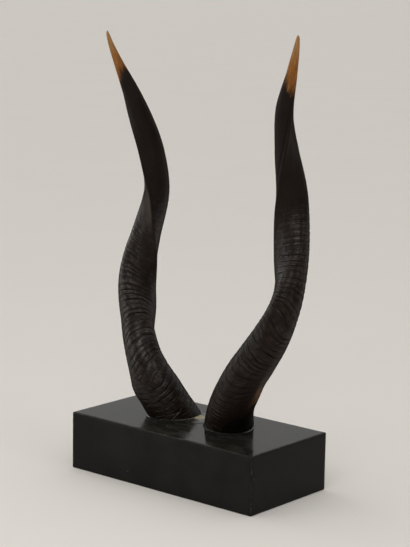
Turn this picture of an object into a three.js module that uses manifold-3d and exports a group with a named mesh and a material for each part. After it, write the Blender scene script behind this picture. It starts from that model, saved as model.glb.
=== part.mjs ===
// A pair of spiral antelope horns standing on a black rectangular block.
// Millimetres, +Z up. The origin is the middle of the block's underside. X runs along the block's
// long side, -Y is its front. Each horn is one grown sheath: a leaning, lyre-shaped coil whose cross
// section has a sharp front keel and a blunter rear keel, and whose keels wind once round the horn
// between the foot and the smooth tip. The two horns wind opposite ways.

import * as THREE from "three";
import { mergeVertices } from "three/addons/utils/BufferGeometryUtils.js";
import Module from "manifold-3d";

// ---- Driving dimensions ----

const BLOCK = { length: 300, depth: 150, height: 75, edge: 2 };

// Stations up the right horn, each given from the point midway between the two feet: height above
// the block's top, distance outward, distance backward, mean radius, how far the front keel has
// wound (degrees, 0 points outward), how far it stands out and how far the hollow side behind it
// sinks in, both as shares of the radius. The first station is below the block's top, where the
// sheath is cut off flat.
// These numbers were not chosen by hand: a least-squares program fitted them to traced outlines and
// keel lines, and most were then only rounded. The same fit gave the rear keel's angle, the keels'
// spreads, PAIR_X, and the right horn's scale, turn, lean and shift.
const STATIONS = [
  { height: -20, out: 35.5, back: 16, radius: 33, wind: -134, keel: 0.04, dip: 0.02 },
  { height: 30, out: 54.6, back: -5.5, radius: 29.4, wind: -80, keel: 0.07, dip: 0.09 },
  { height: 75, out: 75, back: -14.5, radius: 23.2, wind: 22, keel: 0.24, dip: 0.13 },
  { height: 120, out: 99, back: -0.5, radius: 22.8, wind: 89, keel: 0.36, dip: 0.187 },
  { height: 170, out: 114.5, back: 9, radius: 20.4, wind: 137, keel: 0.38, dip: 0.198 },
  { height: 225, out: 111.5, back: 26, radius: 18.7, wind: 192, keel: 0.36, dip: 0.187 },
  { height: 285, out: 102.5, back: 34, radius: 17.8, wind: 238, keel: 0.36, dip: 0.187 },
  { height: 345, out: 99, back: 20.5, radius: 15, wind: 288, keel: 0.34, dip: 0.177 },
  { height: 400, out: 106.5, back: -1, radius: 11.3, wind: 335, keel: 0.31, dip: 0.161 },
  { height: 445, out: 121.5, back: -14.5, radius: 6.2, wind: 365, keel: 0.28, dip: 0.146 },
  { height: 472, out: 130.5, back: -21.5, radius: 3.7, wind: 380, keel: 0.25, dip: 0.13 },
  { height: 487, out: 134.5, back: -24.5, radius: 2, wind: 388, keel: 0.22, dip: 0.114 },
  { height: 491, out: 135, back: -25, radius: 0.8, wind: 390, keel: 0.2, dip: 0.104 },
];

const SECTION = {
  rearKeelAngle: 140, // degrees on from the front keel
  frontKeelSpread: 0.49, // how fast each keel falls away round the section, in radians
  rearKeelSpread: 0.85,
  rearKeelShare: 0.12, // the rear keel's height, as a share of the front keel's
  keelNose: 0.12, // rounding of a keel's edge, in radians
};

const PAIR_X = -4; // the pair stands a little to the left of the block's middle

// Grown horns differ: the right one is a little longer, turned and leaned outward slightly, and its
// keels have wound further on by the foot.
const RIGHT_HORN = { scale: 1.02, turn: 3.5, lean: 2, shiftX: 3, shiftY: 5, footWind: 50 };
const FOOT_WIND = { full: 20, gone: 95 }; // heights between which that lead fades out
const FOOT = { out: 45, back: 18 }; // the point about which it turns and leans

// Hardened glue round the feet: steps of a skirt, by how far each reaches out from the horn, and the
// bank of the patch that joins the two skirts.
const GLUE = {
  steps: [
    { reach: 3.2, bottom: 0, top: 0.8 },
    { reach: 1.8, bottom: 0.8, top: 1.6 },
  ],
  bridge: [
    [-30, 14],
    [-24, -4],
    [-8, -9],
    [10, -4],
    [12, 14],
    [5, 35],
    [-10, 42],
    [-25, 34],
  ],
};
const JOINT_GAP = 0.3; // clearance where two pieces meet

const HORN_ROWS = 56;
const HORN_SIDES = 24;
const BLOCK_EDGE_STEPS = 3;

// ---- Solids that are cut or joined ----

const wasm = await Module();
wasm.setup();

function toSolid(geometry) {
  const bare = geometry.clone();
  bare.deleteAttribute("normal");
  bare.deleteAttribute("uv");
  const merged = mergeVertices(bare, 1e-4);
  return new wasm.Manifold(
    new wasm.Mesh({
      numProp: 3,
      vertProperties: new Float32Array(merged.attributes.position.array),
      triVerts: new Uint32Array(merged.index.array),
    }),
  );
}

function toGeometry(solid) {
  const made = solid.getMesh();
  const geometry = new THREE.BufferGeometry();
  geometry.setAttribute("position", new THREE.BufferAttribute(made.vertProperties, 3));
  geometry.setIndex(new THREE.BufferAttribute(made.triVerts, 1));
  geometry.computeVertexNormals();
  return geometry;
}

// ---- The horn's shape ----

const axis = new THREE.CatmullRomCurve3(
  STATIONS.map((s) => new THREE.Vector3(s.out, s.back, s.height)),
  false,
  "catmullrom",
);
const girth = new THREE.CatmullRomCurve3(
  STATIONS.map((s) => new THREE.Vector3(s.radius, s.wind, s.keel)),
  false,
  "catmullrom",
);
const dips = new THREE.CatmullRomCurve3(
  STATIONS.map((s) => new THREE.Vector3(s.dip, 0, 0)),
  false,
  "catmullrom",
);

// An angle's distance from zero, the short way round.
const around = (angle) => Math.abs(Math.atan2(Math.sin(angle), Math.cos(angle)));

// A keel: 1 on its edge, falling away on both sides, with a small nose radius.
function ridge(angle, spread) {
  const nose = SECTION.keelNose;
  return Math.exp(-(Math.hypot(around(angle), nose) - nose) / spread);
}

// The hollow side: 1 midway between the keels, 0 on them.
function hollow(angle, half) {
  const away = around(angle);
  return away < half ? 0.5 + 0.5 * Math.cos((Math.PI * away) / half) : 0;
}

// Distance from the horn's axis to its surface, at an angle measured from the front keel.
function sectionRadius(radius, keel, dip, angle) {
  const rear = THREE.MathUtils.degToRad(SECTION.rearKeelAngle);
  return (
    radius *
    (1 +
      keel * ridge(angle, SECTION.frontKeelSpread) +
      keel * SECTION.rearKeelShare * ridge(angle - rear, SECTION.rearKeelSpread) -
      dip * hollow(angle - rear / 2, rear / 2))
  );
}

// A closed cylinder whose rows are carried along the horn's axis and swollen to its section.
function hornGeometry(extra, footWind) {
  const geometry = new THREE.CylinderGeometry(1, 1, 1, HORN_SIDES, HORN_ROWS);
  const place = geometry.attributes.position;
  const outward = new THREE.Vector3();
  const sideways = new THREE.Vector3();
  for (let i = 0; i < place.count; i++) {
    const t = place.getY(i) + 0.5;
    const fromAxis = Math.hypot(place.getX(i), place.getZ(i));
    const angle = Math.atan2(-place.getZ(i), place.getX(i));
    const centre = axis.getPoint(t);
    const along = axis.getTangent(t);
    const size = girth.getPoint(t);
    const lead = footWind * (1 - THREE.MathUtils.smoothstep(centre.z, FOOT_WIND.full, FOOT_WIND.gone));
    outward.set(1, 0, 0).addScaledVector(along, -along.x).normalize();
    sideways.crossVectors(along, outward);
    const wound = angle + THREE.MathUtils.degToRad(size.y + lead);
    const reach = fromAxis * (sectionRadius(size.x, size.z, dips.getPoint(t).x, angle) + extra);
    centre.addScaledVector(outward, reach * Math.cos(wound));
    centre.addScaledVector(sideways, reach * Math.sin(wound));
    place.setXYZ(i, centre.x, centre.y, centre.z);
  }
  return geometry;
}

// The same shape as the right horn, in its place.
function rightHorn(extra) {
  const geometry = hornGeometry(extra, RIGHT_HORN.footWind);
  geometry.translate(-FOOT.out, -FOOT.back, 0);
  geometry.scale(RIGHT_HORN.scale, RIGHT_HORN.scale, RIGHT_HORN.scale);
  geometry.rotateZ(THREE.MathUtils.degToRad(RIGHT_HORN.turn));
  geometry.rotateY(THREE.MathUtils.degToRad(RIGHT_HORN.lean));
  geometry.translate(
    PAIR_X + FOOT.out * RIGHT_HORN.scale + RIGHT_HORN.shiftX,
    FOOT.back * RIGHT_HORN.scale + RIGHT_HORN.shiftY,
    BLOCK.height,
  );
  return toSolid(geometry);
}

// The left horn is the mirror image, so its triangles are turned round again.
function leftHorn(extra) {
  const geometry = hornGeometry(extra, 0);
  geometry.scale(-1, 1, 1);
  geometry.translate(PAIR_X, 0, BLOCK.height);
  const corner = geometry.index;
  for (let i = 0; i < corner.count; i += 3) {
    const second = corner.getX(i + 1);
    corner.setX(i + 1, corner.getX(i + 2));
    corner.setX(i + 2, second);
  }
  return toSolid(geometry);
}

// Everything below a level, as one large box.
function below(level) {
  const size = 2 * BLOCK.length;
  const box = new THREE.BoxGeometry(size, size, size);
  box.translate(0, 0, level - size / 2);
  return toSolid(box);
}

function hornOnBlock(solid) {
  return toGeometry(solid.subtract(below(BLOCK.height + JOINT_GAP)));
}

// ---- The block ----

function blockGeometry() {
  const { length, depth, height, edge } = BLOCK;
  const outline = new THREE.Shape();
  const x = length / 2 - edge;
  const y = depth / 2 - edge;
  outline.moveTo(-x, -y).lineTo(x, -y).lineTo(x, y).lineTo(-x, y).closePath();
  const geometry = new THREE.ExtrudeGeometry(outline, {
    depth: height - 2 * edge,
    bevelThickness: edge,
    bevelSize: edge,
    bevelSegments: BLOCK_EDGE_STEPS,
  });
  geometry.translate(0, 0, edge);
  return geometry;
}

// ---- The glue ----

// Everything between two levels of a solid.
function slice(solid, low, high) {
  const size = 2 * BLOCK.length;
  const box = new THREE.BoxGeometry(size, size, high - low);
  box.translate(0, 0, (low + high) / 2);
  return solid.intersect(toSolid(box));
}

// The patch between the feet, as thick as the lower step of the glue.
function glueBridge(thickness) {
  const bank = GLUE.bridge.map(([x, y]) => new THREE.Vector2(x, y));
  const outline = new THREE.Shape(new THREE.SplineCurve([...bank, bank[0]]).getPoints(36).slice(1));
  const geometry = new THREE.ExtrudeGeometry(outline, { depth: thickness, bevelEnabled: false });
  return toSolid(geometry.translate(0, 0, BLOCK.height));
}

// A low skirt that steps in round each foot, and the patch between them. The horns' own room is cut
// out of it.
function glueGeometry() {
  let skirt = glueBridge(GLUE.steps[0].top);
  for (const { reach, bottom, top } of GLUE.steps)
    for (const horn of [leftHorn, rightHorn])
      skirt = skirt.add(slice(horn(reach), BLOCK.height + bottom, BLOCK.height + top));
  return toGeometry(skirt.subtract(leftHorn(JOINT_GAP)).subtract(rightHorn(JOINT_GAP)));
}

// ---- Finishes ----

const lacquer = new THREE.MeshStandardMaterial({ color: 0x0b0a0a, roughness: 0.25, metalness: 0 });
const keratin = new THREE.MeshStandardMaterial({ color: 0x2a1d18, roughness: 0.45, metalness: 0 });
const glue = new THREE.MeshStandardMaterial({ color: 0xb8ab84, roughness: 0.35, metalness: 0 });

// ---- The assembly ----

function piece(name, geometry, material) {
  const mesh = new THREE.Mesh(geometry, material);
  mesh.name = name;
  return mesh;
}

const mounted = new THREE.Group();
mounted.add(piece("plinth", blockGeometry(), lacquer));
mounted.add(piece("horn_left", hornOnBlock(leftHorn(0)), keratin));
mounted.add(piece("horn_right", hornOnBlock(rightHorn(0)), keratin));
mounted.add(piece("glue_bed", glueGeometry(), glue));

export default mounted;
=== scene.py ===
# %% [markdown]
# A pair of spiral antelope horns stands on a black wooden block. This lesson builds what the eye
# sees of it: ridged horn sheaths with amber tips, a lacquered block with worn edges, and the glue
# that holds the feet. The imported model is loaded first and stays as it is. Every piece made here
# stands where one of its nodes stands, in metres, with Z up and the origin in the middle
# of the block's underside.

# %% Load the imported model
import math

import bmesh
import bpy
import numpy as np
from mathutils import Matrix, Vector, noise


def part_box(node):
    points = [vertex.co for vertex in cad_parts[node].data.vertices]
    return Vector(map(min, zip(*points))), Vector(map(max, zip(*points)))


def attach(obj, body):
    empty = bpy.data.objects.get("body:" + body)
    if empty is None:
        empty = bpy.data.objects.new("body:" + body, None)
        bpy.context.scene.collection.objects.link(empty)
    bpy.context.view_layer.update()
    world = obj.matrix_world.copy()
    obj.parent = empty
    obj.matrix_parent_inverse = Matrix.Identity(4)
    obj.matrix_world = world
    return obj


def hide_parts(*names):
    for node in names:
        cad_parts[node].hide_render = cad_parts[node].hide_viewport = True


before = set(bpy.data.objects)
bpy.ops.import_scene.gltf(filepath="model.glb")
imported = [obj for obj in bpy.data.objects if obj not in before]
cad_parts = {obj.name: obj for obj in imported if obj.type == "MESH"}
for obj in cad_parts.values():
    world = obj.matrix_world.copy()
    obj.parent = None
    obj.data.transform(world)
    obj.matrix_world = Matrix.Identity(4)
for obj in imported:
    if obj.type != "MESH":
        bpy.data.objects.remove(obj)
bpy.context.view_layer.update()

MM = 0.001
BLOCK_LOW, BLOCK_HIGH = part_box("plinth")
BLOCK_TOP = BLOCK_HIGH.z
print("block", [round(c / MM, 1) for c in BLOCK_HIGH - BLOCK_LOW], "mm")

# %% [markdown]
# The camera comes before the pieces, so that every trial picture is taken from the same place. It
# stands to the right of the object's front and a little above it, far enough away for a long lens,
# and it leans by one degree. Two angles, that lean, a distance, a lens and the point it looks at
# say all of that. These values were solved by a program, from the block's corners and the horns'
# outlines, and not set by hand.

# %% Place the camera
LOOK_AT = Vector((-25.7, 40.9, 259.4)) * MM
AZIMUTH, ELEVATION, ROLL = (math.radians(a) for a in (40.09, 10.41, 0.98))
DISTANCE = 2227.4 * MM
LENS = 113.8

back = Vector((
    math.sin(AZIMUTH) * math.cos(ELEVATION),
    -math.cos(AZIMUTH) * math.cos(ELEVATION),
    math.sin(ELEVATION),
))
level_right = Vector((math.cos(AZIMUTH), math.sin(AZIMUTH), 0))
level_up = back.cross(level_right)
right = level_right * math.cos(ROLL) + level_up * math.sin(ROLL)
up = level_up * math.cos(ROLL) - level_right * math.sin(ROLL)

camera = bpy.data.objects.new("camera", bpy.data.cameras.new("camera"))
bpy.context.scene.collection.objects.link(camera)
camera.matrix_world = Matrix((right, up, back)).transposed().to_4x4()
camera.location = LOOK_AT + back * DISTANCE
camera.data.lens = LENS
bpy.context.scene.camera = camera
print("camera at", [round(c, 3) for c in camera.location])

# %% [markdown]
# Modelling by hand means choosing something, then acting on it. These helpers do the choosing.
# One clears what an import or a new primitive left selected. One opens a piece in edit mode with
# just the vertices, edges or faces that a mask names. Positions and attributes are read and
# written as arrays, which is quick even on a fine mesh.


# %% Choose what an operator acts on
def work_on(piece):
    """Makes the piece the only thing selected."""
    bpy.ops.object.select_all(action="DESELECT")
    piece.select_set(True)
    bpy.context.view_layer.objects.active = piece


def pick(piece, kind, mask):
    """Opens the piece in edit mode with the masked VERT, EDGE or FACE elements selected."""
    work_on(piece)
    bpy.ops.object.mode_set(mode="EDIT")
    bpy.ops.mesh.select_mode(type=kind)
    bpy.ops.mesh.select_all(action="DESELECT")
    bpy.ops.object.mode_set(mode="OBJECT")
    mesh = piece.data
    parts = {"VERT": mesh.vertices, "EDGE": mesh.edges, "FACE": mesh.polygons}[kind]
    parts.foreach_set("select", np.asarray(mask, bool))
    bpy.ops.object.mode_set(mode="EDIT")


def finish_editing():
    bpy.ops.object.mode_set(mode="OBJECT")


# %% Read and write a mesh as arrays
def corners(piece):
    """The place of every vertex, one row each."""
    flat = np.empty(len(piece.data.vertices) * 3)
    piece.data.vertices.foreach_get("co", flat)
    return flat.reshape(-1, 3)


def move_corners(piece, places):
    piece.data.vertices.foreach_set("co", np.asarray(places, float).ravel())
    piece.data.update()


def edge_ends(piece):
    """The two vertices of every edge."""
    flat = np.empty(len(piece.data.edges) * 2, int)
    piece.data.edges.foreach_get("vertices", flat)
    return flat.reshape(-1, 2)


def keep_value(piece, name, values):
    """Stores one number, or three, at each vertex, for later steps and for the finishes."""
    values = np.asarray(values, float)
    kind, field = ("FLOAT", "value") if values.ndim == 1 else ("FLOAT_VECTOR", "vector")
    layer = piece.data.attributes.get(name) or piece.data.attributes.new(name, kind, "POINT")
    layer.data.foreach_set(field, values.ravel())


def kept_value(piece, name):
    values = np.empty(len(piece.data.vertices))
    piece.data.attributes[name].data.foreach_get("value", values)
    return values


# %% Smooth noise and gentle steps
def wander(places, size, seed=0):
    """Smooth noise at each place, about -1 to 1, with lumps of the given size."""
    shifted = np.asarray(places, float) / size + seed * 7.31
    return 1.4 * np.array([noise.noise(Vector(p)) for p in shifted])


def rise(value, low, high):
    """0 below low, 1 above high, and a smooth S between. Low may be the larger one."""
    share = np.clip((value - low) / (high - low), 0, 1)
    return share * share * (3 - 2 * share)


# %% [markdown]
# The block is a solid of dark wood under black lacquer, 300 by 150 by 75 mm, with edges that were
# rounded by hand and have been knocked since. A bevelled cube gives the shape. Narrow strips are
# then inset beside the rounded edges and cut into short lengths, so that there are enough vertices
# there to dent and chip. The cuts run on across the big faces too, which is more than they need.
# Those stay truly flat all the same, because only what lies near an edge is moved.

# %% Round the block's edges
EDGE_ROUND = 1.6 * MM
STRIP = 2.5 * MM
CUT_EVERY = 1.5 * MM

bpy.ops.object.select_all(action="DESELECT")
block_size = BLOCK_HIGH - BLOCK_LOW
block_middle = (BLOCK_HIGH + BLOCK_LOW) / 2
bpy.ops.mesh.primitive_cube_add(size=1, location=block_middle)
plinth = bpy.context.object
plinth.name = "black_plinth"
bpy.ops.transform.resize(value=block_size, center_override=block_middle)
bpy.ops.object.transform_apply(location=True, rotation=True, scale=True)
pick(plinth, "EDGE", np.ones(12))
bpy.ops.mesh.bevel(offset=EDGE_ROUND, offset_type="OFFSET", segments=4, affect="EDGES")
finish_editing()
areas = np.array([face.area for face in plinth.data.polygons])
pick(plinth, "FACE", areas > 0.1 * areas.max())
bpy.ops.mesh.inset(thickness=STRIP, use_individual=True)
finish_editing()
print("block faces", len(plinth.data.polygons))

# %% Cut the edge strips into short lengths
for along in range(3):
    ends = corners(plinth)[edge_ends(plinth)]
    span = np.abs(ends[:, 0] - ends[:, 1])
    cuts = int(block_size[along] / CUT_EVERY)
    pick(plinth, "EDGE", (span[:, along] > 0.8 * block_size[along]) & (span.sum(1) < 1.02 * span[:, along]))
    bpy.ops.mesh.subdivide(number_cuts=cuts)
    finish_editing()
print("block vertices", len(plinth.data.vertices))

# %% [markdown]
# Wear follows the edges. Every edge gets a slight waver, and here and there a flake of lacquer and
# wood has come off, most of all along the upright edge at the front right, the one that gets
# knocked. Moving each vertex inwards by an amount from smooth noise does both. Noise that counts
# only above a threshold leaves long sound stretches and a few short chips.

# %% Wear and chip the edges
KNOCKED_ALONG = (0.138, 0.146)
KNOCKED_ACROSS = (0.063, 0.071)
WAVER_DEPTH = 0.18 * MM

half = np.array(block_size) / 2
places = corners(plinth)
from_middle = places - np.array(block_middle)
inset = half - np.abs(from_middle)
near = rise(inset, STRIP, 0)
near_two = np.stack([near[:, 0] * near[:, 1], near[:, 1] * near[:, 2], near[:, 0] * near[:, 2]], 1)
by_edge = 1 - np.prod(1 - near_two, 1)
knocked = rise(from_middle[:, 0], *KNOCKED_ALONG) * rise(-from_middle[:, 1], *KNOCKED_ACROSS)
waver = WAVER_DEPTH * (1 + wander(places, 9 * MM)) * by_edge
flake = rise(wander(places, 5 * MM, 3) + 0.45 * knocked, 0.55, 1.0) * (0.5 + 0.9 * knocked) * MM * by_edge
pull = from_middle / half
pull = np.sign(pull) * (np.abs(pull) > 0.97)
pull *= near
move_corners(plinth, places - pull * (waver + flake)[:, None] * 0.7)
work_on(plinth)
bpy.ops.object.shade_smooth_by_angle(angle=math.radians(32))
print("deepest chip", round((waver + flake).max() / MM, 2), "mm")

# %% [markdown]
# A horn is one curve with a changing section. These stations say, for the right horn, where its
# axis runs, measured outward, backward and up from the point between the two feet, how thick it
# is, how far its sharp front keel has wound round it, and how far that keel stands out and the
# hollow side behind it sinks in, as shares of the radius. A smooth curve through the stations gives
# every level between them. The left horn is the same curve mirrored, and winds the other way, as
# the two horns of one animal do. No two horns grow quite alike: the right one's keels have wound
# further on by the foot, and the left one's are ahead round the middle.
# These numbers were not chosen by hand. A least-squares program fitted them to traced outlines
# and keel lines, and most of them were then only rounded. The same fit gave the rear keel's angle,
# the keels' spreads, the pair's shift along the block, and the right horn's shift, turn, lean and
# size. Four of those, the pair's shift and the right horn's turn, lean and shift backward, stopped
# at the limits that the fit was given. The leads, the rear keels' share and their extra height were
# set one by one. A maker would measure a few of all these numbers on a real horn.

# %% The stations of the right horn, in millimetres and degrees
STATIONS = [
    # out, back, height, radius, wind, keel, dip
    (35.5, 16, -20, 33, -134, 0.04, 0.02),
    (54.6, -5.5, 30, 29.4, -80, 0.07, 0.09),
    (75, -14.5, 75, 23.2, 22, 0.24, 0.13),
    (99, -0.5, 120, 22.8, 89, 0.36, 0.187),
    (114.5, 9, 170, 20.4, 137, 0.38, 0.198),
    (111.5, 26, 225, 18.7, 192, 0.36, 0.187),
    (102.5, 34, 285, 17.8, 238, 0.36, 0.187),
    (99, 20.5, 345, 15, 288, 0.34, 0.177),
    (106.5, -1, 400, 11.3, 335, 0.31, 0.161),
    (121.5, -14.5, 445, 6.2, 365, 0.28, 0.146),
    (130.5, -21.5, 472, 3.7, 380, 0.25, 0.13),
    (134.5, -24.5, 487, 2, 388, 0.22, 0.114),
    (135, -25, 491, 0.8, 390, 0.2, 0.104),
]
PAIR_X = -4
PIVOT_OUT, PIVOT_BACK = 45, 18
RIGHT_SCALE, RIGHT_LEAN, RIGHT_TURN = 1.02, 2, 3.5
RIGHT_SHIFT_X, RIGHT_SHIFT_Y = 3, 5
FOOT_LEAD = {"left_horn": 0, "right_horn": 50}
UPPER_LEAD = {"left_horn": 11, "right_horn": 0}
REAR_EDGE = {"left_horn": 0.24, "right_horn": 0.08}


def curve_through(knots, share):
    """Points on the smooth curve through the knots, at shares of it from 0 to 1."""
    knots = np.asarray(knots, float)
    held = np.vstack([2 * knots[0] - knots[1], knots, 2 * knots[-1] - knots[-2]])
    place = np.clip(share, 0, 1) * (len(knots) - 1)
    first = np.minimum(place.astype(int), len(knots) - 2)
    w = (place - first)[:, None]
    p0, p1, p2, p3 = (held[first + k] for k in range(4))
    bend = 2 * p0 - 5 * p1 + 4 * p2 - p3
    twist = 3 * p1 - p0 - 3 * p2 + p3
    return 0.5 * (2 * p1 + (p2 - p0) * w + bend * w**2 + twist * w**3)


AXIS = [station[:3] for station in STATIONS]
GIRTH = [station[3:] for station in STATIONS]


# %% Stand each horn in its place
def unit(vectors):
    return vectors / np.linalg.norm(vectors, axis=1, keepdims=True)


def horn_frame(share):
    """The axis, and the directions outward, sideways and along it, at shares of the horn."""
    step = 1e-4
    ahead = curve_through(AXIS, np.minimum(share + step, 1))
    behind = curve_through(AXIS, np.maximum(share - step, 0))
    along = unit(ahead - behind)
    outward = unit(np.array([1.0, 0, 0]) - along[:, :1] * along)
    return curve_through(AXIS, share), outward, np.cross(along, outward), along


def winding(name, share):
    """How far round its axis a horn's front keel has wound, in radians."""
    height = curve_through(AXIS, share)[:, 2]
    at_foot = FOOT_LEAD[name] * rise(height, 95, 20)
    above = UPPER_LEAD[name] * rise(height, 190, 240) * rise(height, 360, 290)
    return np.radians(curve_through(GIRTH, share)[:, 1] + at_foot + above)


def turned(place, points):
    """Points of the right horn's own frame, in millimetres, brought to their place in metres."""
    matrix = np.array(place)
    return points @ matrix[:3, :3].T + matrix[:3, 3]


to_metres = Matrix.Scale(MM, 4)
on_block = Matrix.Translation((PAIR_X, 0, BLOCK_TOP / MM))
LEFT_PLACE = to_metres @ on_block @ Matrix.Scale(-1, 4, (1, 0, 0))
right_out = PIVOT_OUT * RIGHT_SCALE + RIGHT_SHIFT_X
right_back = PIVOT_BACK * RIGHT_SCALE + RIGHT_SHIFT_Y
RIGHT_PLACE = (
    to_metres
    @ on_block
    @ Matrix.Translation((right_out, right_back, 0))
    @ Matrix.Rotation(math.radians(RIGHT_LEAN), 4, "Y")
    @ Matrix.Rotation(math.radians(RIGHT_TURN), 4, "Z")
    @ Matrix.Scale(RIGHT_SCALE, 4)
    @ Matrix.Translation((-PIVOT_OUT, -PIVOT_BACK, 0))
)

TRIAL = np.linspace(0, 1, 4001)
trial_axis = curve_through(AXIS, TRIAL)
trial_length = np.concatenate([[0], np.cumsum(np.linalg.norm(np.diff(trial_axis, axis=0), axis=1))])
foot_length = np.interp(0, trial_axis[:, 2], trial_length)
HORN_LENGTH = trial_length[-1] - foot_length
print("each horn is", round(HORN_LENGTH), "mm along its axis")

# %% [markdown]
# The section is nearly round at the foot. Higher up it has a sharp front keel, a blunt rear keel
# 140 degrees on, and a hollow side between them. Written as a radius for every angle round the
# axis, it is a sum of three parts that each fade smoothly, so the section never shows a seam.

# %% The keeled section
REAR_KEEL = math.radians(140)
FRONT_SPREAD = 0.49
REAR_SPREAD = 0.85
REAR_SHARE = 0.12


def off_zero(angle):
    """An angle's distance from zero, the short way round."""
    return np.abs(np.arctan2(np.sin(angle), np.cos(angle)))


def keel_shape(angle, spread, nose=0.12):
    """1 on a keel's edge, falling away on both sides."""
    return np.exp(-(np.hypot(off_zero(angle), nose) - nose) / spread)


def hollow_shape(angle):
    """1 in the middle of the hollow side, 0 on the keels."""
    half_way = REAR_KEEL / 2
    away = off_zero(angle - half_way)
    return np.where(away < half_way, 0.5 + 0.5 * np.cos(np.pi * np.minimum(away / half_way, 1)), 0)


def section_radius(name, radius, keel, dip, angle, height):
    """The front keel drops steeply into the hollow side, and the rear one shows from low down up."""
    toward_hollow = rise(np.sin(angle), -0.1, 0.25)
    upper = rise(height, 130, 215)
    spread = FRONT_SPREAD - (0.12 + 0.12 * upper) * toward_hollow
    front = keel_shape(angle, spread, 0.07 - 0.03 * upper)
    rear = REAR_SHARE * keel_shape(angle - REAR_KEEL, REAR_SPREAD)
    rear += REAR_EDGE[name] * rise(height, 105, 165) * keel_shape(angle - REAR_KEEL, 0.45, 0.3)
    return radius * (0.99 + keel * (front + rear) - dip * hollow_shape(angle))


# %% [markdown]
# A horn grows from its foot, so its relief runs in rings. Broad swellings about 7 mm apart carry
# finer ridges about 2.9 mm apart, and some of the valleys are cut deep. All belong to growth lines
# that lie aslant, highest at the rear keel. Only on the right horn they peak short of that keel low
# down, and lie nearly level higher up. The rings are strong up to half the height and have gone two
# thirds of the way up, and lower than that round the front keel. Above them the horn is smooth but
# for faint streaks along it. Near the foot the sheath flakes.
# The relief is worked out as a height over the smooth surface, in millimetres. Rings measured
# along the horn and noise measured on its skin keep every mark tied to the way it grew. The zones
# where the finish will change are worked out from the same height and angle.

# %% The relief of the rings
COARSE = 7.2
FINE = 2.9
SLANT = 10.5
LOW_SLANT_TURN = {"left_horn": 0, "right_horn": 70}
LEVELLED = {"left_horn": 0, "right_horn": 0.75}


def growth_line(name, length, height, angle):
    """Which ring a point grew in: its distance along the axis, evened out for the rings' slant."""
    highest_at = REAR_KEEL - math.radians(LOW_SLANT_TURN[name]) * rise(height, 190, 120)
    slant = SLANT * (1 - LEVELLED[name] * rise(height, 150, 215))
    return length - slant * np.cos(angle - highest_at)


def ring_relief(skin, line, height, angle, seed):
    """The height of rings and ridges, and the share of it, from 0 in a groove to 1 on a crest."""
    across = off_zero(angle - math.radians(172))
    strength = 0.25 + 0.75 * rise(across, math.radians(145), math.radians(88))
    flank = rise(off_zero(angle + 0.4), 1.5, 0.9)
    top = 335 - 105 * flank + 18 * wander(skin, 40, seed + 11)
    ringed = rise(height, top, top - 85) * strength
    patches = 0.6 + 0.6 * rise(wander(skin, 26, seed), -0.6, 0.8)
    sway = 0.3 * wander(skin, 45, seed + 1) + 0.08 * wander(skin, 11, seed + 2)
    only_line = np.stack([line * 0, line * 0, line], 1)
    phase = line / COARSE + sway + 0.8 * wander(only_line, 17, seed + 3)
    within = phase - np.floor(phase)
    swelling = np.sin(np.pi * within) ** 0.75
    from_valley = np.minimum(within, 1 - within) * COARSE
    cut = rise(wander(only_line, 9, seed + 9) + 0.9 * wander(skin, 22, seed + 10), -0.8, 0.2)
    valley = cut * np.exp(-((from_valley / 0.52) ** 2))
    fine_phase = line / FINE + 0.5 * wander(skin, 25, seed + 4) + 0.6 * wander(only_line, 6, seed + 5)
    ridges = np.abs(np.sin(np.pi * fine_phase)) ** 0.8
    broken = 0.45 + 0.75 * rise(wander(skin, 9, seed + 12), -0.5, 0.6)
    near_foot = rise(height, 60, 6)
    swell_height = 0.15 + 0.25 * near_foot
    raised = swell_height * (swelling - 0.6) + 0.7 * broken * (ridges - 0.6)
    cut_depth = 0.8 - 0.3 * rise(height, 150, 220)
    relief = patches * raised - cut_depth * valley
    crest = np.clip(0.4 * swelling + 0.6 * ridges * broken - 0.8 * valley, 0, 1)
    return ringed * relief, ringed * crest + (1 - ringed) * 0.45


def foot_flakes(skin, height, seed):
    """Cracks and lifted flakes of old sheath near the foot, in millimetres, never above zero."""
    stretched = skin * np.array([1, 1, 4.5])
    crack = rise(np.abs(wander(stretched, 26, seed)), 0.16, 0.0)
    return -0.9 * crack * rise(height, 42, 8)


def long_streaks(skin, height, seed):
    """Faint streaks along the smooth upper part."""
    stretched = skin * np.array([1, 1, 0.06])
    return 0.13 * wander(stretched, 2.4, seed) * rise(height, 270, 340) * rise(height, 482, 440)


# %% Where a horn's finish changes
def finish_zones(name, height, angle):
    """Masks for the warm streak and its painted highlight, the painted shade of the dark face and wedge,
    the painted light of the pale strip, and the polish, from 0 to 1.
    """
    if name == "left_horn":
        wedge = 0.19 - 0.039 * height
        # painted shade: a dark wedge at the left horn's foot
        shaded = 0.7 * rise(angle + wedge, 0.0, 0.12) * rise(angle, 1.6, 1.3) * rise(height, 34, 26)
        # painted light: a pale strip on the keel's wall that faces the light
        lit_wall = rise(angle, 0.0, 0.05) * rise(angle, 0.62, 0.22) * rise(height, 228, 256)
        lit_wall *= rise(height, 322, 300)
        hollow_side = rise(angle, -0.3, 0.0) * rise(angle, 1.95, 1.55) * rise(height, 140, 175)
        return {"warm_lit_streak": 0 * height, "shaded": shaded, "lit_wall": lit_wall, "shine": 1 - 0.5 * hollow_side}
    band = 0.24 + 0.5 * rise(height, 54, 26) + 0.2 * rise(height, 60, 95)
    # partly the thin keel's warmer colour, partly a painted highlight where the keel is lit
    warm_lit_streak = keel_shape(angle + band, 0.19) * rise(height, 38, 64) * rise(height, 116, 92)
    # painted shade: the hollow face beside the right horn's warm streak
    shaded = rise(angle + band, 0.05, 0.25) * rise(angle, 1.7, 1.2) * rise(height, 52, 32)
    shine = 0.25 + 0.6 * rise(height, 160, 205)
    return {"warm_lit_streak": warm_lit_streak, "shaded": shaded, "lit_wall": 0 * height, "shine": shine}


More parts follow.
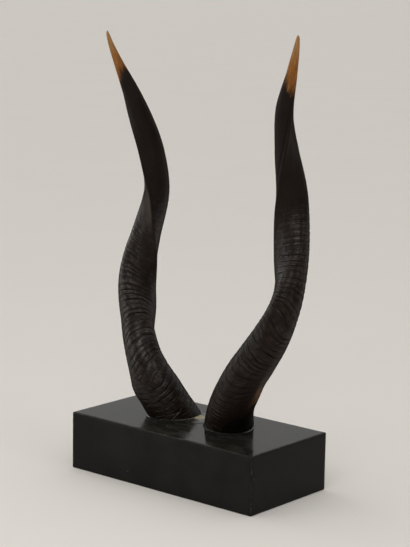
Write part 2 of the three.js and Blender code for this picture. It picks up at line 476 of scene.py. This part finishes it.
# %% The whole surface of a horn
SEEDS = {"left_horn": 11, "right_horn": 47}
CREASE_DEPTH = {"left_horn": 0.35, "right_horn": 0.9}
MORE_AMBER = {"left_horn": 5, "right_horn": 4}


def horn_surface(name, share, angle):
    """Points of the finished surface in the right horn's frame, and the values its finish needs."""
    seed = SEEDS[name]
    centre, outward, sideways, _ = horn_frame(share)
    radius, _, keel, dip = curve_through(GIRTH, share).T
    height = centre[:, 2]
    length = np.interp(share, TRIAL, trial_length) - foot_length
    skin = np.stack([radius * np.cos(angle), radius * np.sin(angle), length], 1)
    line = growth_line(name, length, height, angle)
    rings, crest = ring_relief(skin, line, height, angle, seed)
    slim = rise(radius, 1.0, 9.0)
    lumps = 0.3 * slim * wander(skin, 38, seed + 8)
    if name == "right_horn":
        crease = np.exp(-(((angle + 0.22) / 0.09) ** 2)) * rise(height, 300, 340) * rise(height, 440, 400)
    else:
        crease = np.exp(-(((angle + 0.12) / 0.07) ** 2)) * rise(height, 232, 246) * rise(height, 306, 285)
    relief = rings + lumps + foot_flakes(skin, height, seed + 6)
    relief += slim * (long_streaks(skin, height, seed + 7) - CREASE_DEPTH[name] * crease)
    reach = section_radius(name, radius, keel, dip, angle, height) + relief
    wound = (angle + winding(name, share))[:, None]
    points = centre + reach[:, None] * (outward * np.cos(wound) + sideways * np.sin(wound))
    values = {
        "skin": np.stack([skin[:, 0], skin[:, 1], line], 1) * MM,
        "crest": crest,
        "crease": crease,
        "height": height * MM,
        "to_tip": (HORN_LENGTH - length - MORE_AMBER[name]) * MM,
        "turn": np.cos(angle),
        **finish_zones(name, height, angle),
    }
    return points, values


# %% [markdown]
# The sheath itself is drawn up from its foot. A circle is extruded ring by ring along the axis,
# and each new ring is turned to face the way the horn grows and to follow the winding keel, then
# scaled to the horn's girth. The mesh lines so run up the keels, which keeps those edges crisp.
# Turning by three plain angles about the ring's centre is enough for any change of direction.

# %% Draw the sheath up, ring by ring
RING_COUNT = 62
SIDES = 112
KEEL_CROWDING = 0.45


def ring_turns(name, place, share):
    """The middle of each ring, and a matrix whose columns are its keel, its side and its axis."""
    centre, outward, sideways, along = horn_frame(share)
    wind = winding(name, share)[:, None]
    keel_way = outward * np.cos(wind) + sideways * np.sin(wind)
    side_way = sideways * np.cos(wind) - outward * np.sin(wind)
    turns = np.stack([keel_way, side_way, along], 2)
    matrix = np.array(place)[:3, :3]
    turns = matrix @ turns / np.cbrt(abs(np.linalg.det(matrix)))
    turns[:, :, 1] *= np.sign(np.linalg.det(turns))[:, None]
    return turned(place, centre), turns


def draw_up(name, place):
    """A closed-sided tube of round rings that follows the horn's axis."""
    lengths = np.linspace(0, trial_length[-1], RING_COUNT)
    share = np.interp(lengths, trial_length, TRIAL)
    centre, turns = ring_turns(name, place, share)
    radius = curve_through(GIRTH, share)[:, 0] * MM
    bpy.ops.object.select_all(action="DESELECT")
    facing = Matrix(turns[0]).to_euler()
    bpy.ops.mesh.primitive_circle_add(
        vertices=SIDES, radius=radius[0], fill_type="NOTHING", location=centre[0], rotation=facing
    )
    horn = bpy.context.object
    horn.name = name
    bpy.ops.object.transform_apply(location=True, rotation=True, scale=True)
    pick(horn, "VERT", np.ones(SIDES))
    for k in range(1, RING_COUNT):
        bpy.ops.mesh.extrude_region_move(TRANSFORM_OT_translate={"value": centre[k] - centre[k - 1]})
        turn = Matrix(turns[k] @ turns[k - 1].T).to_euler("XYZ")
        for axis_name, angle in zip("XYZ", turn):
            bpy.ops.transform.rotate(value=-angle, orient_axis=axis_name, center_override=centre[k])
        swell = radius[k] / radius[k - 1]
        bpy.ops.transform.resize(value=(swell,) * 3, center_override=centre[k])
    finish_editing()
    keep_value(horn, "share", np.repeat(share, SIDES))
    arms = corners(horn).reshape(RING_COUNT, SIDES, 3) - centre[:, None]
    mirrored = np.sign(np.linalg.det(np.array(place)[:3, :3]))
    across = np.einsum("ksi,kij->ksj", arms, turns)
    angle = np.arctan2(mirrored * across[..., 1], across[..., 0])
    drift = off_zero(angle - angle[0]).max()
    print(name, "drawn up; its lines keep to the keel within", round(math.degrees(drift), 2), "degrees")
    crowded = angle[0] - KEEL_CROWDING * np.sin(angle[0])
    keep_value(horn, "angle", np.tile(crowded, RING_COUNT))
    return horn


# %% Divide the sheath for its ridges
LOW_CUTS = 15
HIGH_CUTS = 3
RIDGED_TO = 335


def divide(horn):
    """Cuts the tube across, finely where it will be ridged and coarsely in the smooth part."""
    for cuts, smooth_part in ((LOW_CUTS, False), (HIGH_CUTS, True)):
        share = kept_value(horn, "share")
        ends = edge_ends(horn)
        lengthwise = np.abs(share[ends[:, 0]] - share[ends[:, 1]]) > 0.004
        height = curve_through(AXIS, share[ends].mean(1))[:, 2]
        pick(horn, "EDGE", lengthwise & ((height > RIDGED_TO) == smooth_part))
        bpy.ops.mesh.subdivide(number_cuts=cuts)
        finish_editing()


left_horn = draw_up("left_horn", LEFT_PLACE)
right_horn = draw_up("right_horn", RIGHT_PLACE)
for horn in (left_horn, right_horn):
    divide(horn)
    print(horn.name, len(horn.data.vertices), "vertices")

# %% [markdown]
# Every vertex knows how far up the horn it sits and at what angle from the front keel, because
# dividing an edge also divides the values kept on it. So the surface can be shaped all at once,
# as a carver would who follows marks on the blank. Afterwards the sheath is sawn off level with
# the block's top, and its open tip is drawn in and closed.

# %% Shape the surface
for horn, place in ((left_horn, LEFT_PLACE), (right_horn, RIGHT_PLACE)):
    points, values = horn_surface(horn.name, kept_value(horn, "share"), kept_value(horn, "angle"))
    move_corners(horn, turned(place, points))
    for name, value in values.items():
        keep_value(horn, name, value)
    print(horn.name, "box", np.ptp(corners(horn), axis=0).round(4))


# %% Saw off the foot and close the tip
FOOT_GAP = 0.05 * MM


def close_ends(horn, place):
    work_on(horn)
    pick(horn, "VERT", np.ones(len(horn.data.vertices)))
    bpy.ops.mesh.bisect(
        plane_co=(0, 0, BLOCK_TOP + FOOT_GAP), plane_no=(0, 0, 1), clear_inner=True, use_fill=True
    )
    finish_editing()
    tip, turns = ring_turns(horn.name, place, np.array([1.0]))
    pick(horn, "VERT", kept_value(horn, "share") > 0.9999)
    for forward, narrow in ((0.35, 0.7), (0.25, 0.45)):
        step = turns[0, :, 2] * forward * MM
        tip = tip + step
        bpy.ops.mesh.extrude_region_move(TRANSFORM_OT_translate={"value": step})
        bpy.ops.transform.resize(value=(narrow,) * 3, center_override=tip[0])
    bpy.ops.mesh.edge_face_add()
    bpy.ops.mesh.select_all(action="SELECT")
    bpy.ops.mesh.normals_make_consistent(inside=False)
    finish_editing()
    bpy.ops.object.shade_smooth_by_angle(angle=math.radians(60))


def open_edges(piece):
    """How many edges don't join exactly two faces."""
    shell = bmesh.new()
    shell.from_mesh(piece.data)
    loose = sum(len(edge.link_faces) != 2 for edge in shell.edges)
    shell.free()
    return loose


for horn, place in ((left_horn, LEFT_PLACE), (right_horn, RIGHT_PLACE)):
    close_ends(horn, place)
    print(horn.name, len(horn.data.vertices), "vertices,", open_edges(horn), "open edges")

# %% [markdown]
# The feet are held by glue that was poured round them and has hardened: a narrow rim that climbs
# each sheath in a curve, and a broad, shallow puddle between the two feet. One fine grid over both
# is raised by how near each point is to a foot and to the puddle. What stays flat, or lies under
# a horn, is deleted, and the rest is extruded down onto the block, which closes it.


# %% Measure how near a point is to an outline
def foot_outline(horn):
    """The corners of the sawn foot, in order, seen from above."""
    sole = max(horn.data.polygons, key=lambda face: len(face.vertices))
    return corners(horn)[list(sole.vertices)][:, :2]


def beyond(points, outline):
    """Distance of flat points outside an outline, with a minus sign inside it."""
    start, end = outline, np.roll(outline, -1, 0)
    side = end - start
    arm = points[:, None] - start
    share = np.clip((arm * side).sum(2) / (side * side).sum(1), 0, 1)
    nearest = np.linalg.norm(arm - share[..., None] * side, axis=2).min(1)
    crosses = (start[:, 1] > points[:, 1:2]) != (end[:, 1] > points[:, 1:2])
    climb = np.where(side[:, 1] == 0, 1e-12, side[:, 1])
    where = start[:, 0] + (points[:, 1:2] - start[:, 1]) * side[:, 0] / climb
    inside = (crosses & (points[:, :1] < where)).sum(1) % 2 == 1
    return np.where(inside, -nearest, nearest)


# %% Lay the glue over the feet
GLUE_TILE = 0.8 * MM
GLUE_MARGIN = 5 * MM
PUDDLE = [(-30, 14), (-24, -4), (-8, -9), (10, -4), (12, 14), (5, 35), (-10, 42), (-25, 34)]

outlines = [foot_outline(horn) for horn in (left_horn, right_horn)]
both = np.vstack(outlines)
glue_low = both.min(0) - GLUE_MARGIN
glue_high = both.max(0) + GLUE_MARGIN
glue_span = glue_high - glue_low
glue_middle = (*(glue_low + glue_high) / 2, BLOCK_TOP)
bpy.ops.object.select_all(action="DESELECT")
bpy.ops.mesh.primitive_grid_add(
    x_subdivisions=int(glue_span[0] / GLUE_TILE),
    y_subdivisions=int(glue_span[1] / GLUE_TILE),
    size=1,
    location=glue_middle,
)
glue = bpy.context.object
glue.name = "glue_film"
bpy.ops.transform.resize(value=(glue_span[0], glue_span[1], 1), center_override=glue_middle)
bpy.ops.object.transform_apply(location=True, rotation=True, scale=True)

flat = corners(glue)
ring_knots = np.array(PUDDLE + PUDDLE[:3], float)
puddle_loop = curve_through(ring_knots, np.linspace(1 / 10, 9 / 10, 97)[:-1]) * MM
by_foot = np.minimum(*(beyond(flat[:, :2], outline) for outline in outlines))
by_puddle = beyond(flat[:, :2], puddle_loop)
reach = (2.6 + 0.9 * wander(flat, 9 * MM, 5)) * MM
climb = 1.55 * MM * np.clip(1 - np.maximum(by_foot, 0) / reach, 0, 1) ** 2
lumpy = 1 + 0.35 * wander(flat, 5 * MM, 6)
pool = 0.75 * MM * rise(by_puddle + 1.2 * MM * wander(flat, 7 * MM, 7), 0.8 * MM, -3.5 * MM) * lumpy
thick = np.hypot(climb, pool)
keep_value(glue, "thick", thick)
move_corners(glue, flat + np.stack([thick * 0, thick * 0, thick], 1))
print("glue is at most", round(thick.max() / MM, 2), "mm thick")

# %% Trim the glue and close it onto the block
corner_lists = [list(face.vertices) for face in glue.data.polygons]
thinnest = np.array([thick[c].min() for c in corner_lists])
deepest = np.array([by_foot[c].min() for c in corner_lists])
pick(glue, "FACE", (thinnest < 0.04 * MM) | (deepest < -1.6 * MM))
bpy.ops.mesh.delete(type="FACE")
finish_editing()
pick(glue, "FACE", np.ones(len(glue.data.polygons)))
bpy.ops.mesh.extrude_region_move()
bpy.ops.transform.resize(value=(1, 1, 0), center_override=(0, 0, BLOCK_TOP + 0.01 * MM))
bpy.ops.mesh.select_all(action="SELECT")
bpy.ops.mesh.normals_make_consistent(inside=False)
finish_editing()
work_on(glue)
bpy.ops.object.shade_smooth_by_angle(angle=math.radians(50))
print("glue", len(glue.data.vertices), "vertices,", open_edges(glue), "open edges")

# %% [markdown]
# Finishes are written as sums. A wire stands for the output of a shader node, and adding or
# multiplying wires adds the Math nodes that do it, so that a mask reads like the formula it is.
# Colours go through a Mix node instead, because a Math node would turn them grey. Every other
# node comes from one method, which takes the node's type, its settings and its sockets.


# %% Wires that add up
class Wire:
    """A shader node's output, with Python's arithmetic."""

    def __init__(self, finish, socket):
        self.finish = finish
        self.socket = socket

    def with_other(self, operation, first, second):
        return self.finish.node("ShaderNodeMath", {"operation": operation}, {0: first, 1: second})

    def __add__(self, other):
        return self.with_other("ADD", self, other)

    def __sub__(self, other):
        return self.with_other("SUBTRACT", self, other)

    def __rsub__(self, other):
        return self.with_other("SUBTRACT", other, self)

    def __mul__(self, other):
        return self.with_other("MULTIPLY", self, other)

    __radd__ = __add__
    __rmul__ = __mul__

    def rise(self, low, high):
        """0 at low, 1 at high, held beyond them. Low may be the larger one."""
        inputs = {"Value": self, "From Min": low, "From Max": high}
        return self.finish.node("ShaderNodeMapRange", {"interpolation_type": "SMOOTHSTEP"}, inputs)


class Finish:
    """One procedural material under way."""

    def __init__(self, name, **constants):
        self.material = bpy.data.materials.new(name)
        self.material.use_nodes = True
        self.tree = self.material.node_tree
        self.shader = self.tree.nodes["Principled BSDF"]
        for label, value in constants.items():
            self.shader.inputs[label.replace("_", " ")].default_value = value

    def feed(self, socket, value):
        if isinstance(value, Wire):
            self.tree.links.new(value.socket, socket)
        else:
            socket.default_value = value

    def node(self, kind, settings=None, inputs=None, out=0):
        """Adds a node, sets it up, feeds its sockets, and returns one of its outputs."""
        made = self.tree.nodes.new(kind)
        for label, value in (settings or {}).items():
            setattr(made, label, value)
        for label, value in (inputs or {}).items():
            self.feed(made.inputs[label], value)
        return Wire(self, made.outputs[out])

    def kept(self, name, out="Fac"):
        """A value that was kept on the mesh. Its out is Vector for three numbers."""
        return self.node("ShaderNodeAttribute", {"attribute_name": name}, out=out)

    def stretched(self, vector, scale, shift=(0, 0, 0)):
        inputs = {"Vector": vector, "Scale": scale, "Location": shift}
        return self.node("ShaderNodeMapping", None, inputs)

    def noise(self, vector, size, detail=2.0, rough=0.5):
        """Smooth noise around 0.5, with lumps of a size in metres."""
        inputs = {"Vector": vector, "Scale": 1 / size, "Detail": detail, "Roughness": rough}
        return self.node("ShaderNodeTexNoise", None, inputs, out="Fac")

    def blend(self, mask, under, over):
        """The colour under where the mask is 0, and over where it is 1."""
        opaque = [(*c, 1) if isinstance(c, tuple) else c for c in (under, over)]
        inputs = {0: mask, 6: opaque[0], 7: opaque[1]}
        return self.node("ShaderNodeMix", {"data_type": "RGBA"}, inputs, out=2)

    def bump(self, height, depth, over=None):
        """A normal that reads as relief of a real depth in metres."""
        inputs = {"Height": height, "Distance": depth, "Strength": 1.0}
        if over is not None:
            inputs["Normal"] = over
        return self.node("ShaderNodeBump", None, inputs, out="Normal")

    def plug(self, **wires):
        for label, wire in wires.items():
            self.feed(self.shader.inputs[label.replace("_", " ")], wire)


# %% [markdown]
# Horn is dark brown, nearly black, and what makes it read as horn is how little that changes: ring
# crests are rubbed paler and greyer, the grooves between them are darker, and the last few
# centimetres are amber. Low on the right horn a warm streak lies beside a nearly black face. The
# streak is partly the thin keel's warmer colour and partly a painted highlight where the keel is
# lit, and the black face is painted shade in the hollow. The left horn has a dark wedge of painted
# shade at its foot, and a pale strip of painted light on the wall by its keel higher up. The creases
# of both horns are darkened with painted shade. These zones are placed one by one. The colours ride
# on the values kept when the surface was shaped, so no patch can part from its ridge. The polish is
# a coat whose weight follows the crests, fades on the smooth upper part and is broken up by grain.

# %% The horn sheath's kept values and noises
horn_finish = Finish("horn_sheath", Specular_IOR_Level=0.09, Coat_Roughness=0.3)
skin = horn_finish.kept("skin", "Vector")
crest = horn_finish.kept("crest")
height = horn_finish.kept("height")
lit_wall = horn_finish.kept("lit_wall")
crease = horn_finish.kept("crease")
to_tip = horn_finish.kept("to_tip")
turn = horn_finish.kept("turn")

along_rings = horn_finish.stretched(skin, (1, 1, 5))
along_horn = horn_finish.stretched(skin, (1, 1, 0.08))
cloud = horn_finish.noise(skin, 0.03, 3)
bands = horn_finish.noise(along_rings, 0.02, 4, 0.6)
fibres = horn_finish.noise(along_horn, 0.0016, 3, 0.6)
grit = horn_finish.noise(skin, 0.0009, 2)
mottle = horn_finish.noise(horn_finish.stretched(skin, (1, 1, 0.6)), 0.004, 4, 0.7)

# %% The dark horn's colours
dark = horn_finish.blend(cloud.rise(0.35, 0.65), (0.0066, 0.0037, 0.0025), (0.0098, 0.0055, 0.0036))
worn = horn_finish.blend(bands.rise(0.3, 0.75), (0.0185, 0.0114, 0.0079), (0.0290, 0.0200, 0.0148))
rubbed = crest.rise(0.45, 0.95) * height.rise(0.36, 0.24)
ringed = horn_finish.blend(rubbed * (0.45 + 0.6 * mottle), dark, worn)
# darker in the grooves between the crests
groove_darkening = crest.rise(0.3, 0.05) * height.rise(0.34, 0.24) * 0.7
grooved = horn_finish.blend(groove_darkening, ringed, (0.0028, 0.0019, 0.0014))
streaks = height.rise(0.26, 0.34) * fibres.rise(0.35, 0.7) * 0.3
streaky = horn_finish.blend(streaks, grooved, (0.017, 0.0115, 0.0085))
warm_patch = horn_finish.noise(skin, 0.012, 3).rise(0.42, 0.58)
warm_grain = bands.rise(0.2, 0.6) * (0.5 + fibres) * (0.35 + 0.65 * warm_patch)
warm_foot = horn_finish.kept("warm_lit_streak").rise(0.3, 0.95) * warm_grain
# painted shade: the shaded faces are darkened nearly to black
painted_shade_face = horn_finish.blend(horn_finish.kept("shaded") * 0.85, streaky, (0.0016, 0.0015, 0.0012))
# the warm streak: the keel's warmer colour with a painted highlight on it
warm_lit_streak = horn_finish.blend(warm_foot * 0.85, painted_shade_face, (0.125, 0.062, 0.029))
# painted light: the pale strip on the wall that faces the light
painted_lit_wall = horn_finish.blend(lit_wall * (0.3 + 0.7 * fibres), warm_lit_streak, (0.041, 0.029, 0.019))
# painted shade: darker along the creases
crease_shade = horn_finish.blend(crease.rise(0.2, 0.8) * 0.85, painted_lit_wall, (0.005, 0.0035, 0.003))

# %% The amber tip
edge_of_amber = to_tip - turn * 0.010 + (fibres - 0.5) * 0.018
amber = edge_of_amber.rise(0.062, 0.046)
pale = to_tip.rise(0.036, 0.008)
amber_colour = horn_finish.blend(pale, (0.26, 0.098, 0.022), (0.31, 0.162, 0.060))
deep = horn_finish.blend(edge_of_amber.rise(0.022, 0.05) * 0.6, amber_colour, (0.15, 0.058, 0.014))
lit_amber = horn_finish.blend(fibres.rise(0.46, 0.3) * 0.8, deep, (0.40, 0.21, 0.075))
streaked_amber = horn_finish.blend(fibres.rise(0.52, 0.7) * 0.6, lit_amber, (0.10, 0.034, 0.011))
horn_colour = horn_finish.blend(amber, crease_shade, streaked_amber)

# %% The horn's fine relief and gloss
THREAD = 0.0011

fine_threads = horn_finish.node(
    "ShaderNodeTexWave",
    {"wave_type": "BANDS", "bands_direction": "Z", "wave_profile": "SIN"},
    {"Vector": skin, "Scale": 1 / (THREAD * 20), "Distortion": 2.2, "Detail": 2.0, "Detail Scale": 3.0},
    out="Fac",
)
thread_bump = horn_finish.bump(fine_threads * height.rise(0.33, 0.2), 0.00010)
fibre_bump = horn_finish.bump(fibres * height.rise(0.29, 0.36), 0.00010, thread_bump)
short_ridges = horn_finish.noise(horn_finish.stretched(skin, (1, 1, 4)), 0.0045, 3, 0.6)
ridge_bump = horn_finish.bump(short_ridges * height.rise(0.36, 0.24), 0.0005, fibre_bump)
grain_bump = horn_finish.bump(grit * 0.4 + mottle * 0.6, 0.00014, ridge_bump)
seen_edge_on = horn_finish.node("ShaderNodeLayerWeight", None, {"Blend": 0.5}, out="Facing")
dull = height.rise(0.25, 0.30)
gloss = 0.3 - 0.05 * crest.rise(0.5, 1) + 0.15 * dull + 0.15 * crease + (cloud - 0.5) * 0.2
horn_rough = gloss + 0.6 * seen_edge_on.rise(0.35, 1)
shine = horn_finish.kept("shine")
grain = mottle.rise(0.36, 0.62) * (0.5 + 0.5 * fine_threads)
seen_full_on = 1 - seen_edge_on.rise(0.35, 0.75)
polish = shine * (0.06 + 0.85 * crest * grain) * (0.5 + cloud) * (1 - 0.92 * dull) * seen_full_on
horn_finish.plug(Base_Color=horn_colour, Roughness=horn_rough, Normal=grain_bump, Coat_Weight=polish)
for horn in (left_horn, right_horn):
    horn.data.materials.clear()
    horn.data.materials.append(horn_finish.material)
print("horn finish", len(horn_finish.tree.nodes), "nodes")

# %% [markdown]
# The block is black lacquer over dark wood. Its top was polished and mirrors the horns and the
# light behind them, under a veil of dust and a few fine scratches. Its sides are duller. Brush
# marks and scattered white specks are all over it. Along the edges the lacquer is thin and shows a
# line of paler, browner wood. Distances from the faces, worked out from object coordinates, tell
# the top, the sides and the edges apart, so the pattern needs no seams and no unwrapping.

# %% The lacquer's faces and edges
lacquer = Finish("black_lacquer", Specular_IOR_Level=0.1)
place = lacquer.node("ShaderNodeTexCoord", out="Object")
split = lacquer.node("ShaderNodeSeparateXYZ", None, {"Vector": place})
x, y, z = (Wire(lacquer, split.socket.node.outputs[k]) for k in range(3))


def size_of(wire):
    """A wire's value without its sign."""
    return lacquer.node("ShaderNodeMath", {"operation": "ABSOLUTE"}, {0: wire})


from_end = half[0] - size_of(x)
from_side = half[1] - size_of(y)
from_top = BLOCK_TOP - z
on_top = from_top.rise(0.0012, 0.0004)
ragged = (lacquer.noise(place, 0.004, 3, 0.65) - 0.5) * 0.0032


def close_to(*distances):
    """1 where all of these distances are small, with a ragged border."""
    mask = 1.0
    for distance in distances:
        mask = (distance + ragged).rise(0.0019, 0.0006) * mask
    return mask


edge_line = close_to(from_end, from_side) + close_to(from_end, from_top) + close_to(from_side, from_top)
front_corner = (x - 0.14).rise(0, 0.008) * (0 - y - 0.065).rise(0, 0.008)
chip_noise = lacquer.noise(place, 0.012, 4, 0.7) + front_corner * 0.04
chipped = edge_line.rise(0.1, 0.8) * chip_noise.rise(0.56, 0.68)

# %% Dust, smears, specks and scratches
DUST = (0.06, 0.056, 0.05)
SPECK_SPACING = 0.019

dust_fine = lacquer.noise(place, 0.0022, 3, 0.7)
dust_cloud = lacquer.noise(place, 0.05, 4, 0.6)
smears = lacquer.noise(lacquer.stretched(place, (0.5, 1, 1)), 0.012, 4, 0.7)
speck_inputs = {"Vector": place, "Scale": 1 / SPECK_SPACING, "Randomness": 1.0}
specks = lacquer.node("ShaderNodeTexVoronoi", {"feature": "F1"}, speck_inputs)
speck_choice = lacquer.noise(place, 0.02, 2)
speck = specks.rise(0.045, 0.025) * speck_choice.rise(0.5, 0.54)
scratch_way = lacquer.stretched(place, (0.06, 1.6, 1))
scratched_area = lacquer.noise(place, 0.03, 2).rise(0.5, 0.6)
scratch = lacquer.noise(scratch_way, 0.0018, 2, 0.6).rise(0.63, 0.72) * scratched_area

# %% The lacquer's colour and gloss
blotch = lacquer.noise(lacquer.stretched(place, (0.7, 1.3, 1)), 0.022, 3, 0.6).rise(0.47, 0.58)
base = lacquer.blend(dust_cloud.rise(0.35, 0.7), (0.0052, 0.0050, 0.0042), (0.0098, 0.0093, 0.0078))
hazed = lacquer.blend(on_top * (0.25 + 0.75 * blotch), base, (0.0210, 0.0198, 0.0165))
dust = on_top * dust_fine.rise(0.45, 0.8) * smears.rise(0.4, 0.7) * 0.6
dusted = lacquer.blend(dust, hazed, DUST)
scratched = lacquer.blend(on_top * scratch * 0.35, dusted, DUST)
lined = lacquer.blend(edge_line.rise(0.05, 0.9) * 0.3, scratched, (0.034, 0.030, 0.024))
worn_edge = lacquer.blend(chipped * 0.6, lined, (0.095, 0.072, 0.052))
speckled = lacquer.blend(speck, worn_edge, (0.34, 0.33, 0.30))
side_rough = 0.42 + (dust_cloud - 0.5) * 0.25
top_rough = 0.09 + blotch * 0.07 + smears.rise(0.4, 0.65) * 0.06 + dust_fine * 0.05
rough = side_rough * (1 - on_top) + top_rough * on_top + chipped * 0.3
brushed = lacquer.bump(lacquer.noise(lacquer.stretched(place, (0.3, 0.3, 1.5)), 0.002, 3), 0.00003)
lacquer.plug(Base_Color=speckled, Roughness=rough, Normal=brushed)
plinth.data.materials.clear()
plinth.data.materials.append(lacquer.material)
print("lacquer", len(lacquer.tree.nodes), "nodes")

# %% [markdown]
# The glue is clear, so over black lacquer it looks nearly black where it is thin and slightly
# olive where it is thick, and it mostly shows as a change of gloss. Opaque colours stand for that
# here. Between the feet it dried cloudy and left a cream-coloured crust.

# %% The glue's finish
resin = Finish("hardened_glue", Specular_IOR_Level=0.3)
resin_place = resin.node("ShaderNodeTexCoord", out="Object")
thickness = resin.kept("thick")
crust_middle = resin.stretched(resin_place, (75, 105, 0), (0.75, -1.85, 0))
crust_reach = resin.node("ShaderNodeVectorMath", {"operation": "LENGTH"}, {0: crust_middle}, out="Value")
crust_noise = resin.noise(resin_place, 0.006, 4, 0.65)
crust = (crust_reach + (crust_noise - 0.5) * 1.6).rise(1.05, 0.6)
film = resin.blend(thickness.rise(0.0001, 0.0014), (0.010, 0.0095, 0.008), (0.036, 0.033, 0.023))
creamy = resin.blend(crust * 0.8, film, (0.40, 0.36, 0.22))
resin_bump = resin.bump(resin.noise(resin_place, 0.0025, 3), 0.00012)
resin.plug(Base_Color=creamy, Roughness=0.22 + crust * 0.3, Normal=resin_bump)
glue.data.materials.clear()
glue.data.materials.append(resin.material)
print("glue finish", len(resin.tree.nodes), "nodes")

# %% [markdown]
# The stage is a plain pale floor that runs on to its horizon. From low down, a thin strip of the
# room shows above it. A dark glossy thing shows mostly what it mirrors, so the room is bright on
# the left and behind the object and dimmer in front and to the right, and it has three soft
# windows: two on the left, low down, and one high on the right. One wide lamp, in front and to the
# right, lights the horns and the floor near them.

# %% The floor
bpy.ops.object.select_all(action="DESELECT")
bpy.ops.mesh.primitive_circle_add(vertices=96, radius=60, fill_type="NGON", location=(0, 0, 0))
floor = bpy.context.object
floor.name = "floor"
paper = Finish("pale_floor", Specular_IOR_Level=0.1, Roughness=0.8)
paper_place = paper.node("ShaderNodeTexCoord", out="Object")
paper_cloud = paper.noise(paper_place, 0.35, 2)
paper.plug(Base_Color=paper.blend(paper_cloud, (0.80, 0.76, 0.715), (0.825, 0.785, 0.74)))
floor.data.materials.append(paper.material)

# %% The room's light
room = bpy.data.worlds.new("room")
bpy.context.scene.world = room
room.use_nodes = True


class Room(Finish):
    """The light of the room, written like a finish."""

    def __init__(self, world):
        self.tree = world.node_tree
        self.shader = self.tree.nodes["Background"]


sky = Room(room)
way = sky.node("ShaderNodeTexCoord", out="Generated")
split = sky.node("ShaderNodeSeparateXYZ", None, {"Vector": way})
way_x, way_y, way_z = (Wire(sky, split.socket.node.outputs[k]) for k in range(3))
behind_left = way_y * 0.35 - way_x * 0.94
walls = 0.12 + 0.52 * behind_left.rise(-0.6, 0.6)
ceiling = way_z.rise(0.3, 0.8)


def toward(azimuth, elevation):
    """A direction given as for the camera."""
    a, e = math.radians(azimuth), math.radians(elevation)
    return Vector((math.sin(a) * math.cos(e), -math.cos(a) * math.cos(e), math.sin(e)))


def window(azimuth, elevation, reach, soft):
    """1 where the room is seen within a reach, in degrees, of a direction, with a soft border."""
    inputs = {0: way, 1: toward(azimuth, elevation)}
    nearness = sky.node("ShaderNodeVectorMath", {"operation": "DOT_PRODUCT"}, inputs, out="Value")
    return nearness.rise(math.cos(math.radians(reach + soft)), math.cos(math.radians(reach)))


windows = 2.6 * window(-40, 7, 8, 8) + 2.0 * window(88, 26, 7, 7)
windows += 2.2 * window(-95, 10, 14, 10)
sky.plug(Color=(1.0, 0.995, 0.98, 1), Strength=walls * (1 - ceiling) + 0.75 * ceiling + windows)

# %% The lamp
LAMP_SIZE = (1.8, 0.9)
LAMP_WATTS = 17
LAMP_AIM = Vector((0, 0, 0.3))
LAMP_AWAY = 2.6

lamp_way = toward(28, 32)
lamp = bpy.data.objects.new("soft_lamp", bpy.data.lights.new("soft_lamp", "AREA"))
bpy.context.scene.collection.objects.link(lamp)
lamp.data.shape = "RECTANGLE"
lamp.data.size, lamp.data.size_y = LAMP_SIZE
lamp.data.energy = LAMP_WATTS
lamp.location = LAMP_AIM + lamp_way * LAMP_AWAY
lamp.rotation_euler = lamp_way.to_track_quat("Z", "Y").to_euler()
bpy.context.scene.view_settings.view_transform = "Standard"

# %% [markdown]
# Last, each piece is tied to the imported model: it rides on the model's one body, and stands for
# the node it replaces, which is hidden.

# %% Tie the pieces to the imported model
for piece, node, finish_slot in (
    (plinth, "plinth", "black_block"),
    (left_horn, "horn_left", "horn_sheath"),
    (right_horn, "horn_right", "horn_sheath"),
    (glue, "glue_bed", "hardened_glue"),
):
    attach(piece, "root")
    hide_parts(node)
    print(piece.name, "stands for", node)
